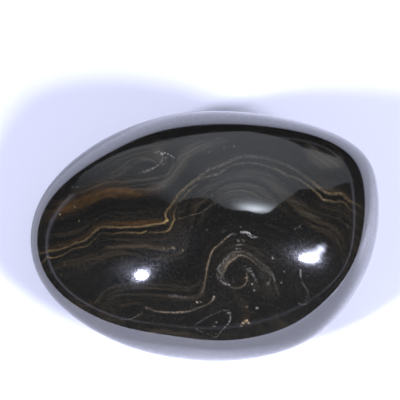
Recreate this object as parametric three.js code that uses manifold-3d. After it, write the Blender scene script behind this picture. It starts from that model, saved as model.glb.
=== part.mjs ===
// Stromatolite palm stone: one piece of banded fossil stone, ground and polished all over.
// Units are millimetres and +Z is up. The stone lies on its small worn flat, with the origin
// under the middle of its outline, on the surface that it rests on. +X runs along its length.
import * as THREE from 'three';
import { mergeVertices } from 'three/addons/utils/BufferGeometryUtils.js';
import Module from 'manifold-3d';

// Half sizes of the egg-shaped pebble that the stone would be without its ground facets. Its lower
// half is fuller than its upper half, and both are measured from the stone's heart.
const HALF_LENGTH = 48.5;
const HALF_WIDTH = 38;
const HEIGHT_ABOVE = 16.8;
const DEPTH_BELOW = 19;

// Broad soft facets that grinding left. Each faces along a direction, given by its azimuth from +X
// and its elevation above the horizontal in degrees, and lies at a distance from the stone's heart.
const SOFT_FACETS = [
  { name: 'crown', azimuth: 90, elevation: 73, distance: 18.3 },
  { name: 'blunt end', azimuth: 164, elevation: 32, distance: 46 },
  { name: 'long slope', azimuth: 132, elevation: 39, distance: 25.3 },
  { name: 'back', azimuth: 95, elevation: 7, distance: 28.2 },
  { name: 'back corner', azimuth: 70, elevation: 19, distance: 27.6 },
  { name: 'right end', azimuth: 1, elevation: -16, distance: 36.3 },
  { name: 'front corner', azimuth: -39, elevation: 1, distance: 35.6 },
  { name: 'front', azimuth: -87, elevation: -8, distance: 34.7 },
  { name: 'front left', azimuth: -122, elevation: 16, distance: 36 },
  { name: 'left shoulder', azimuth: 182, elevation: 62, distance: 16.8 },
  { name: 'right shoulder', azimuth: 3, elevation: 55, distance: 26.3 },
  { name: 'front shoulder', azimuth: -89, elevation: 48, distance: 21.4 },
  { name: 'back shoulder', azimuth: 97, elevation: 57, distance: 19.5 },
  { name: 'belly', azimuth: 0, elevation: -90, distance: 17 },
];

// How crisply one facet turns into the next: 2 melts them together, 20 leaves near edges.
const CRISPNESS = 8;

// The flat that the stone rests on lies this far below its heart, and cuts off the lowest bulge.
const REST_DEPTH = 15.8;

// Each face of the starting icosahedron is split into rows, for faces about 3 mm across.
const FACE_ROWS = 16;

const STONE_COLOUR = 0x241f1b;
const STONE_ROUGHNESS = 0.12;

function facingDirection(facet) {
  const azimuth = THREE.MathUtils.degToRad(facet.azimuth);
  const elevation = THREE.MathUtils.degToRad(facet.elevation);
  return new THREE.Vector3(
    Math.cos(elevation) * Math.cos(azimuth),
    Math.cos(elevation) * Math.sin(azimuth),
    Math.sin(elevation),
  );
}

const FACET_NORMALS = SOFT_FACETS.map((facet) => facingDirection(facet).divideScalar(facet.distance));

// One at the stone's skin, less inside it and more outside it. It grows in step with distance from
// the heart, so a point divided by its own reach lies on the skin.
function reach(point) {
  const halfHeight = point.z > 0 ? HEIGHT_ABOVE : DEPTH_BELOW;
  const egg = Math.hypot(point.x / HALF_LENGTH, point.y / HALF_WIDTH, point.z / halfHeight);
  let sum = egg ** CRISPNESS;
  for (const normal of FACET_NORMALS) {
    sum += Math.max(0, normal.dot(point)) ** CRISPNESS;
  }
  return sum ** (1 / CRISPNESS);
}

function wholePebble() {
  const ball = new THREE.IcosahedronGeometry(1, FACE_ROWS - 1);
  ball.deleteAttribute('normal');
  ball.deleteAttribute('uv');
  const pebble = mergeVertices(ball, 1e-5);
  const places = pebble.getAttribute('position');
  const halfSizes = new THREE.Vector3(HALF_LENGTH, HALF_WIDTH, HEIGHT_ABOVE);
  const point = new THREE.Vector3();
  for (let i = 0; i < places.count; i++) {
    point.fromBufferAttribute(places, i);
    point.multiply(halfSizes);
    point.divideScalar(reach(point));
    places.setXYZ(i, point.x, point.y, point.z);
  }
  return pebble;
}

// A block that fills everything below the rest flat, wider than the pebble on every side.
function groundBelow() {
  const span = 3 * HALF_LENGTH;
  const block = new THREE.BoxGeometry(span, span, span);
  block.translate(0, 0, -REST_DEPTH - span / 2);
  block.deleteAttribute('normal');
  block.deleteAttribute('uv');
  return mergeVertices(block);
}

const manifold = await Module();
manifold.setup();

function toSolid(geometry) {
  return new manifold.Manifold(new manifold.Mesh({
    numProp: 3,
    vertProperties: new Float32Array(geometry.getAttribute('position').array),
    triVerts: new Uint32Array(geometry.getIndex().array),
  }));
}

function toGeometry(solid) {
  const mesh = solid.getMesh();
  const geometry = new THREE.BufferGeometry();
  geometry.setAttribute('position', new THREE.BufferAttribute(mesh.vertProperties, 3));
  geometry.setIndex(new THREE.BufferAttribute(mesh.triVerts, 1));
  return geometry;
}

function stoneGeometry() {
  const geometry = toGeometry(toSolid(wholePebble()).subtract(toSolid(groundBelow())));
  geometry.computeBoundingBox();
  const box = geometry.boundingBox;
  const middle = box.getCenter(new THREE.Vector3());
  geometry.translate(-middle.x, -middle.y, -box.min.z);
  geometry.computeVertexNormals();
  return geometry;
}

const polishedStone = new THREE.MeshStandardMaterial({
  color: STONE_COLOUR,
  roughness: STONE_ROUGHNESS,
  metalness: 0,
});

const stone = new THREE.Mesh(stoneGeometry(), polishedStone);
stone.name = 'stromatolite_stone';

const part = new THREE.Group();
part.add(stone);

export default part;
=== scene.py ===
import math

import bpy
import numpy as np
from bpy.props import FloatProperty, FloatVectorProperty, IntProperty, PointerProperty
from mathutils import Matrix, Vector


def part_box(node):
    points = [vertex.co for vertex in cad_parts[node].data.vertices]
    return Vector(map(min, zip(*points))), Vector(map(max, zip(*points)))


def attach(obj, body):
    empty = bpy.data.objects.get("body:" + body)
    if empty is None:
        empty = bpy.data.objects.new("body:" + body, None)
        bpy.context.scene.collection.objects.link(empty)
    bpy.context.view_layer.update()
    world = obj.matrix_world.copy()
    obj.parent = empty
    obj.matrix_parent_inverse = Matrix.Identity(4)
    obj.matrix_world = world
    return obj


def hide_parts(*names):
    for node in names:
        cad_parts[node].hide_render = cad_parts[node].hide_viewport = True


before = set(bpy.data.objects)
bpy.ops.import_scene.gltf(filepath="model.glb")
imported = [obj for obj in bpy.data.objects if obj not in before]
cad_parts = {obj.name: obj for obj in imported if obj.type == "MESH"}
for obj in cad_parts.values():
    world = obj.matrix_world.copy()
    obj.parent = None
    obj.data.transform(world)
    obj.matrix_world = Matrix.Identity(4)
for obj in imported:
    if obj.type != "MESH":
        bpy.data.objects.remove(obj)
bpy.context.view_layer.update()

bl_info = {
    "name": "Stromatolite palm stone",
    "version": (1, 0, 0),
    "blender": (4, 5, 0),
    "location": "3D View > Sidebar > Stone",
    "description": "Builds a polished stone of banded stromatolite and the pale sheet it lies on",
    "category": "Add Mesh",
}

STONE_NODE = "stromatolite_stone"
MM = 0.001


def direction(azimuth, elevation):
    """The unit vector toward an azimuth and elevation in degrees; azimuth 0 is +X and 90 is +Y."""
    a, e = math.radians(azimuth), math.radians(elevation)
    return np.array([math.cos(e) * math.cos(a), math.cos(e) * math.sin(a), math.sin(e)])


def facing_frame(azimuth, elevation):
    """Three unit vectors for a thing that faces the stone from there: back toward it from the
    stone, level toward its side, and up along it."""
    back = direction(azimuth, elevation)
    level = direction(azimuth + 90, 0)
    return back, level, np.cross(back, level)


# ---------------------------------------------------------------------------------------------
# The stone's form: the driving sizes of its solid, in millimetres from the stone's heart.

HALF_LENGTH = 48.5
HALF_WIDTH = 38.0
HEIGHT_ABOVE = 16.8
DEPTH_BELOW = 19.0
CRISPNESS = 8
REST_DEPTH = 15.8

# Broad soft facets that grinding left: azimuth and elevation in degrees, distance from the heart.
SOFT_FACETS = {
    "crown": (90, 73, 18.3),
    "blunt end": (164, 32, 46.0),
    "long slope": (132, 39, 25.3),
    "back": (95, 7, 28.2),
    "back corner": (70, 19, 27.6),
    "right end": (1, -16, 36.3),
    "front corner": (-39, 1, 35.6),
    "front": (-87, -8, 34.7),
    "front left": (-122, 16, 36.0),
    "left shoulder": (182, 62, 16.8),
    "right shoulder": (3, 55, 26.3),
    "front shoulder": (-89, 48, 21.4),
    "back shoulder": (97, 57, 19.5),
    "belly": (0, -90, 17.0),
    # One more than the plain solid has: it rounds off the ridge between three of the others.
    "front left shoulder": (-145, 64, 17.8),
}
FACET_NORMALS = np.array([direction(a, e) / d for a, e, d in SOFT_FACETS.values()])

# A low swelling along the front left shoulder: its middle, its height and its two half lengths.
SWELLING_MIDDLE = np.array([-16.5, -17.4, 8.7])
SWELLING_HEIGHT = 0.8
SWELLING_ACROSS = 6.0
SWELLING_ALONG = 16.0
SWELLING_TURN = 37


def swelling(points):
    """How much of their length points near the front left shoulder gain."""
    facing = direction(-145, 64)
    across = direction(SWELLING_TURN, 0)
    across = across - facing * (across @ facing)
    across /= np.linalg.norm(across)
    along = np.cross(facing, across)
    offset = points - SWELLING_MIDDLE
    spread = (offset @ across / SWELLING_ACROSS) ** 2 + (offset @ along / SWELLING_ALONG) ** 2
    return SWELLING_HEIGHT / np.linalg.norm(SWELLING_MIDDLE) * np.exp(-spread / 2)


def reach(points):
    """One at the stone's skin, less inside it and more outside it."""
    sizes = np.tile([HALF_LENGTH, HALF_WIDTH, HEIGHT_ABOVE], (len(points), 1))
    sizes[points[:, 2] < 0, 2] = DEPTH_BELOW
    egg = np.sqrt(((points / sizes) ** 2).sum(axis=1))
    facets = np.maximum(0, points @ FACET_NORMALS.T)
    plain = (egg**CRISPNESS + (facets**CRISPNESS).sum(axis=1)) ** (1 / CRISPNESS)
    return plain * (1 - swelling(points / plain[:, None]))


def faces_toward(points, directions):
    """Whether the skin at points on it faces along the directions."""
    small_step = 0.05
    return reach(points + directions * small_step) > reach(points)


# ---------------------------------------------------------------------------------------------
# The layout of the markings. They are drawn on a grid of squares, as seen from a drawing point
# above and in front of the stone. The grid's axis passes beside the heart, and x runs right and
# y down from the grid's top left corner.

GRID_SQUARE = 0.223
GRID_MIDDLE = np.array([200.0, 200.0])
DRAWING_ELEVATION = 65.4
DRAWING_DISTANCE = 320.0
HEART_OFFSET = (4.2, -3.8)

DRAWING_RIGHT = direction(0, 0)
DRAWING_BACK = direction(-90, DRAWING_ELEVATION)
DRAWING_UP = np.cross(DRAWING_BACK, DRAWING_RIGHT)
DRAWING_POINT = (
    DRAWING_BACK * DRAWING_DISTANCE - DRAWING_RIGHT * HEART_OFFSET[0] - DRAWING_UP * HEART_OFFSET[1]
)

# The layers dip as they go down into the stone, so its hidden side shows other bands.
DIP = np.array([0.22, -0.6])


def on_grid(points):
    """Where points lie on the layout's grid, with the layers' dip for those on the far side."""
    sight = points - DRAWING_POINT
    scale = DRAWING_DISTANCE / GRID_SQUARE / -(sight @ DRAWING_BACK)
    grid = np.stack([sight @ DRAWING_RIGHT * scale, -(sight @ DRAWING_UP) * scale], axis=1)
    grid += GRID_MIDDLE
    toward = -sight / np.linalg.norm(sight, axis=1, keepdims=True)
    hidden = ~faces_toward(points, toward)
    grid[hidden] += through_stone(points[hidden], toward[hidden])[:, None] / GRID_SQUARE * DIP
    return grid


def through_stone(points, directions):
    """How far the stone reaches from points on its skin along directions into it."""
    near = np.zeros(len(points))
    far = np.full(len(points), 3 * HALF_LENGTH)
    halvings = 30
    for _ in range(halvings):
        middle = (near + far) / 2
        inside = reach(points + directions * middle[:, None]) < 1
        near = np.where(inside, middle, near)
        far = np.where(inside, far, middle)
    return near


# Veins. Each has its width in grid squares and its share of the mineral's full brightness, both as
# one number or a few spread evenly along it, and its line on the grid.
UPPER_VEIN = [
    (28, 256), (42, 253), (52, 250.5), (60, 249.5), (70, 245.6), (76, 242.8), (82, 241.5), (90.5, 236),
    (96.6, 229.8), (101.4, 227.3), (112.5, 227), (120.5, 227.5), (130, 227), (140.5, 226.5),
    (146.2, 225.6), (152.3, 224.6), (160.4, 223.5), (165, 222), (167.5, 219.6),
]
UPPER_VEIN_OVER_ARCH = [
    (167.5, 219.6), (165.6, 216.2), (166, 211.8), (169.5, 207.5), (175.1, 199.7), (178.2, 194.2),
    (184.1, 189.3), (190.5, 183.5), (197.5, 178.5), (204.4, 172.7), (210.5, 168.7), (220.9, 165.5),
    (228, 162), (233, 159.5), (238, 158), (245.5, 156.3), (255, 157), (265, 158), (270.4, 160),
    (280.9, 162.8), (290.9, 167), (297, 170.5), (303, 175), (308, 179), (312.2, 181.5), (317.4, 186.3),
    (322, 190), (327, 193), (332, 194), (337.5, 193.5), (342.4, 194.5), (347.5, 199.5), (353.4, 203.3),
    (360, 206.5), (378, 222),
]
LOWER_VEIN = [
    (33, 270), (43, 262), (47, 257), (52, 258), (60, 256), (65.5, 253.5), (72, 249.6), (77, 248),
    (87, 246), (90.5, 243), (95.5, 238), (100.5, 233.7), (104, 232.5), (112.5, 233.7), (120.5, 232.5),
    (130.5, 232.5), (140.5, 233), (146.5, 231),
]
LOWER_VEIN_AT_BEND = [
    (149, 232), (157.5, 232.5), (162, 232.2), (165.3, 231.6), (169.5, 229.3), (172.6, 223),
    (174.5, 219.4), (173.5, 215.8), (174.5, 212.5), (175.4, 208.9), (178, 203), (183.7, 197), (188, 192),
    (193.2, 187.7), (198, 183.7),
]
LOWER_VEIN_OVER_ARCH = [
    (197, 180.5), (204.5, 177.5), (212.5, 175.5), (218, 173.8), (223, 171), (228, 167.3), (233, 164.8),
    (240.5, 163.5), (250.5, 162.8), (262.9, 165), (273, 168.5), (278.9, 170.6), (287.9, 175.8),
    (298, 178.8), (303, 182), (308.8, 186.2), (315.8, 191.6), (321, 196.9), (322, 199), (330.5, 200.8),
    (335, 202), (340.5, 201.5), (345.5, 203.5), (350.5, 209.8), (356, 213), (375, 230),
]

# Veins of one group lie far enough apart that each place has one nearest vein.
VEIN_GROUPS = {
    "veins_one": {
        "upper golden vein": (
            (2.4, 2.2, 2.2), (0.05, 0.2, 0.15, 0.2, 0.2, 0.2, 0.3, 0.37, 0.35, 1.0), UPPER_VEIN),
        "upper golden vein over the arch": (
            (2.2, 3.0, 3.4, 3.2, 2.8),
            (0.42, 0.17, 0.2, 0.16, 0.16, 0.12, 0.07, 0.08, 0.15, 0.27, 0.15, 0.0), UPPER_VEIN_OVER_ARCH),
        "lower left vein": (1.9, (0.1, 0.18, 0.34, 0.2, 0.08, 0.5), [
            (145, 308.5), (149, 308.5), (155, 311), (162, 312), (168, 312.3), (172, 312.5), (178, 312.5),
            (184, 312), (190, 311), (198, 308), (205, 305.5), (211, 302), (213, 299), (214.3, 296)]),
        "swirl, grains": ((4, 6, 6, 5, 4, 3), (0.1, 0.12, 0.02, 0.04), [
            (227, 284), (222, 278), (221.5, 269), (226, 262), (233, 256), (241, 253.5), (250, 256.5),
            (258, 262), (266, 268), (271, 276)]),
        "thin right vein": (1.6, (0.34, 0.12, 0.06, 0.05), [
            (300.5, 269), (300.5, 275), (301.5, 279), (303, 284), (306, 288), (308, 292), (308, 297),
            (305, 301)]),
        "curved pale vein": (1.9, (0.04, 0.2, 0.4, 0.38, 0.15, 0.3, 0.1), [
            (200, 295), (203, 290), (205, 281), (206, 275), (207, 268), (209, 260), (211, 254), (213, 250),
            (217, 246), (220, 244), (224, 240), (229, 236), (233, 234), (236, 234.5)]),
    },
    "veins_two": {
        "lower golden vein": (
            (1.6, 1.8, 1.6, 1.5, 2.0), (0.05, 0.28, 0.1, 0.13, 0.06, 0.06, 0.2, 0.3), LOWER_VEIN),
        "lower golden vein at the bend": (
            (1.8, 2.4, 2.0, 1.6), (0.14, 0.14, 0.33, 0.33, 0.12, 0.06, 0.17, 0.12), LOWER_VEIN_AT_BEND),
        "lower golden vein over the arch": (
            (2.4, 2.4, 2.0), (0.06, 0.2, 0.06, 0.11, 0.14, 0.13, 0.16, 0.28, 0.16, 0.12, 0.0),
            LOWER_VEIN_OVER_ARCH),
        "white squiggle": (1.4, (0.2, 0.8, 0.1), [
            (155, 152.6), (159, 151.6), (162, 154.6), (165, 152.4), (168, 154.2), (170, 154.2)]),
        "left rim dash": (1.4, (0.08, 0.2, 0.08), [(70, 186.6), (74, 187.4), (78, 187), (82, 186.2)]),
        "pale vein, broken end": ((2.0, 3.4, 3.0, 2.0), (0.3, 0.75, 0.35, 0.1), [
            (240, 232), (245, 232.5), (249, 234), (250.5, 236), (254, 237), (258, 237)]),
        "loop": ((1.4, 1.4, 1.4, 1.6, 2.2), (0.12, 0.1, 0.08, 0.1, 0.08, 0.08, 0.22, 0.15), [
            (229, 310.5), (222, 310.5), (217, 313), (211, 315), (206, 318), (201, 321), (196, 324),
            (195, 327), (198, 330), (202, 332), (208, 334), (213, 337), (217, 337), (222, 330),
            (228, 324), (230, 320), (230.3, 316), (230, 311)]),
    },
    "veins_three": {
        "swirl, inner edge": ((2.2, 2.0, 1.8, 1.6, 1.6), (0.26, 0.3, 0.1, 0.09, 0.09, 0.02), [
            (224, 272), (226, 267), (230, 262), (235, 258.5), (238, 256), (242, 255.5), (246, 257),
            (250, 259), (254, 262), (259, 267), (263, 270), (268, 271.5), (272, 274), (274, 279),
            (277, 288), (279, 295), (275, 300)]),
        "row of crumbs": ((2.6, 3.2, 3.2, 2.6), (0.03, 0.08, 0.06, 0.08), [
            (106, 248), (114, 247.2), (120, 246.4), (127, 246), (134, 246.6), (142, 246), (149, 247),
            (156, 249), (161, 249.6), (166, 250.6), (171, 248), (176, 249.2)]),
        "crumbs on a lower layer": (2.4, (0.1, 0.12, 0.03), [
            (167, 294.6), (171, 296.6), (175, 295.6), (181, 296.8), (187, 297.2), (194, 297.5)]),
        "ripple": (2.0, 0.14, [(236, 246), (240, 244.5), (243.5, 245.5)]),
        "crack": (1.2, (0.16, 0.05), [(178, 219), (190, 215.5), (201, 212.5), (212, 205), (219, 201.5)]),
        "lens streak": ((1.6, 2.6, 1.6, 1.5, 1.3), (0.05, 0.32, 0.2, 0.18), [
            (136, 175), (143.5, 172), (150.5, 169.5), (155, 167), (159.5, 164), (161.5, 161),
            (163, 157.5), (161.5, 154.5)]),
        "short streak": (1.4, 0.18, [(295, 229), (299, 227), (302.5, 223.5)]),
        "rim twig": (1.5, 0.1, [(118, 320), (130, 319), (135, 317), (142, 313)]),
        "end hook": (1.4, 0.12, [(298, 303), (302, 304.7), (307, 304)]),
        "foot of the swirl": (1.9, (0.08, 0.15, 0.08), [
            (246, 272), (247, 277), (246, 283), (241.5, 287), (236, 288.5), (230, 287)]),
    },
    "veins_four": {
        "swirl, outer edge": (
            (2.0, 2.4, 2.0, 1.6, 1.3, 1.3), (0.18, 0.08, 0.14, 0.07, 0.07, 0.04, 0.08, 0.04), [
                (229, 285), (225, 284), (221, 282), (218.5, 278), (217.5, 273), (218, 268), (221, 264),
                (224, 260), (228, 256), (232, 252.5), (237, 251.5), (243, 251.5), (250, 254.5),
                (256, 259), (262, 264), (268, 267.5), (271.5, 271), (273.5, 276), (274.5, 281),
                (276, 287), (277.5, 294)]),
        "squiggle's tail": (1.3, (0.2, 0.45, 0.2), [(169.5, 154.8), (172, 156.3), (175.5, 158)]),
        "swirl, core": ((4.5, 5.0, 2.4, 1.8), (0.06, 0.18, 0.08), [
            (243, 267), (247, 268), (250, 271), (252.5, 274), (255, 278), (257.5, 283)]),
        "second inner line": (1.4, 0.1, [(267.5, 286), (270, 280), (271, 277)]),
    },
}

# Horizons: lines that follow one layer. The number is how far that layer lies above the upper
# golden vein, in grid squares across the layers.
HORIZONS = [
    (0, UPPER_VEIN + UPPER_VEIN_OVER_ARCH[1:]),
    (-7, LOWER_VEIN),
    (-8, LOWER_VEIN_AT_BEND),
    (-7.5, LOWER_VEIN_OVER_ARCH),
    (-18, [(60, 262), (85, 256), (107, 247), (130, 246), (150, 249), (168, 247), (180, 238), (187, 218),
        (200, 197), (220, 182), (250, 174), (280, 182), (300, 193), (322, 209), (345, 217), (360, 230)]),
    (-27, [(60, 272), (80, 267), (97, 262), (110, 256), (130, 254), (160, 257), (180, 255), (190, 240),
        (196, 222), (212, 196), (232, 185), (255, 185), (282, 196), (305, 212), (330, 220), (350, 232)]),
    (-37, [(75, 275), (95, 267), (120, 262), (150, 265), (183, 264), (197, 245), (205, 222), (222, 200),
        (245, 193), (270, 200), (295, 216), (320, 227), (336, 233), (347, 252)]),
    (-50, [(75, 285), (95, 281), (120, 273), (150, 275), (185, 275), (198, 262), (204, 245), (214, 227),
        (232, 212), (255, 210), (280, 222), (303, 234), (322, 243), (333, 262), (330, 285)]),
    (-60, [(97, 299), (103, 293), (113, 288), (135, 285), (165, 284), (185, 287), (197, 281), (203, 262),
        (211, 243), (225, 229), (245, 222), (270, 232), (290, 247), (308, 262), (316, 285), (312, 303)]),
    (-69, [(100, 303), (110, 297), (125, 293), (150, 296), (180, 297), (198, 296), (204, 283), (207, 268),
        (213, 250), (224, 239), (236, 234), (255, 238), (275, 250), (292, 262), (301, 275), (306, 290),
        (304, 303)]),
    (-78, [(130, 303), (155, 306), (180, 307), (200, 302), (208, 291), (211, 277), (214, 262), (222, 250),
        (240, 243), (258, 247), (275, 259), (287, 272), (293, 288), (292, 302)]),
    (-86, [(140, 311), (170, 312), (195, 309), (210, 302), (215, 291), (217, 277), (222, 262), (239, 251),
        (256, 258), (269, 265), (279, 279), (283, 293), (277, 304)]),
    (-96, [(150, 320), (185, 320), (212, 312), (224, 295), (225, 278), (231, 262), (241, 256), (253, 263),
        (266, 272), (273, 284), (272, 297), (262, 306)]),
    (-106, [(233, 275), (240, 268), (250, 274), (258, 284), (256, 294), (245, 300), (235, 288)]),
    (8, [(60, 240), (90, 223), (105, 215), (130, 216), (155, 213)]),
    (16, [(58, 231), (80, 224), (97, 212), (120, 210), (150, 207), (163, 199), (180, 180), (200, 161),
        (225, 149), (255, 146), (285, 151), (312, 166), (335, 178), (356, 192)]),
    (30, [(56, 216), (80, 209), (97, 201), (120, 197), (150, 196), (168, 186), (182, 168), (196, 153),
        (220, 142), (250, 136)]),
    (39, [(60, 205), (80, 201), (95, 192), (110, 186), (135, 187), (155, 184), (168, 172), (178, 156),
        (200, 144), (225, 134)]),
    (50, [(75, 190), (90, 184), (105, 179), (118, 176), (133, 179), (150, 176), (164, 168), (166, 157),
        (178, 148), (200, 137)]),
    (60, [(85, 178), (108, 168), (125, 164), (140, 160), (152, 162), (146, 170), (130, 172)]),
    (52, [(100, 160), (125, 154), (150, 151), (165, 147)]),
    (40, [(270, 120), (300, 128), (330, 143), (352, 165), (368, 185)]),
    (80, [(60, 140), (110, 115), (170, 95), (230, 90), (290, 95), (350, 115), (400, 160)]),
    (120, [(20, 110), (90, 70), (170, 50), (250, 45), (330, 60), (420, 110)]),
    (165, [(0, 50), (120, 10), (250, 0), (380, 20)]),
    (-70, [(60, 330), (110, 335)]),
    (-110, [(150, 350), (210, 355), (260, 350)]),
    (-75, [(330, 320), (350, 300)]),
]

# The laminae inside the arch lie between an outer and an inner one, and a few farther in.
ARCH_OUTER = np.array([
    (207, 186), (217, 178), (229, 173.6), (245, 171.4), (259, 173), (271, 177.3), (282, 184.5),
    (289, 190.5)])
ARCH_INNER = np.array([
    (218, 199), (223, 195), (230, 192), (240, 190.8), (248, 192), (254.5, 194.5), (259, 197.5),
    (262, 201)])


def arch_laminae(*laminae):
    """Stripes inside the arch: how far in each lies, from 0 to 1, its width and its strength."""
    return [(width, (0.4 * strength, strength, strength, 0.4 * strength),
             ARCH_OUTER + share * (ARCH_INNER - ARCH_OUTER)) for share, width, strength in laminae]


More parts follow.
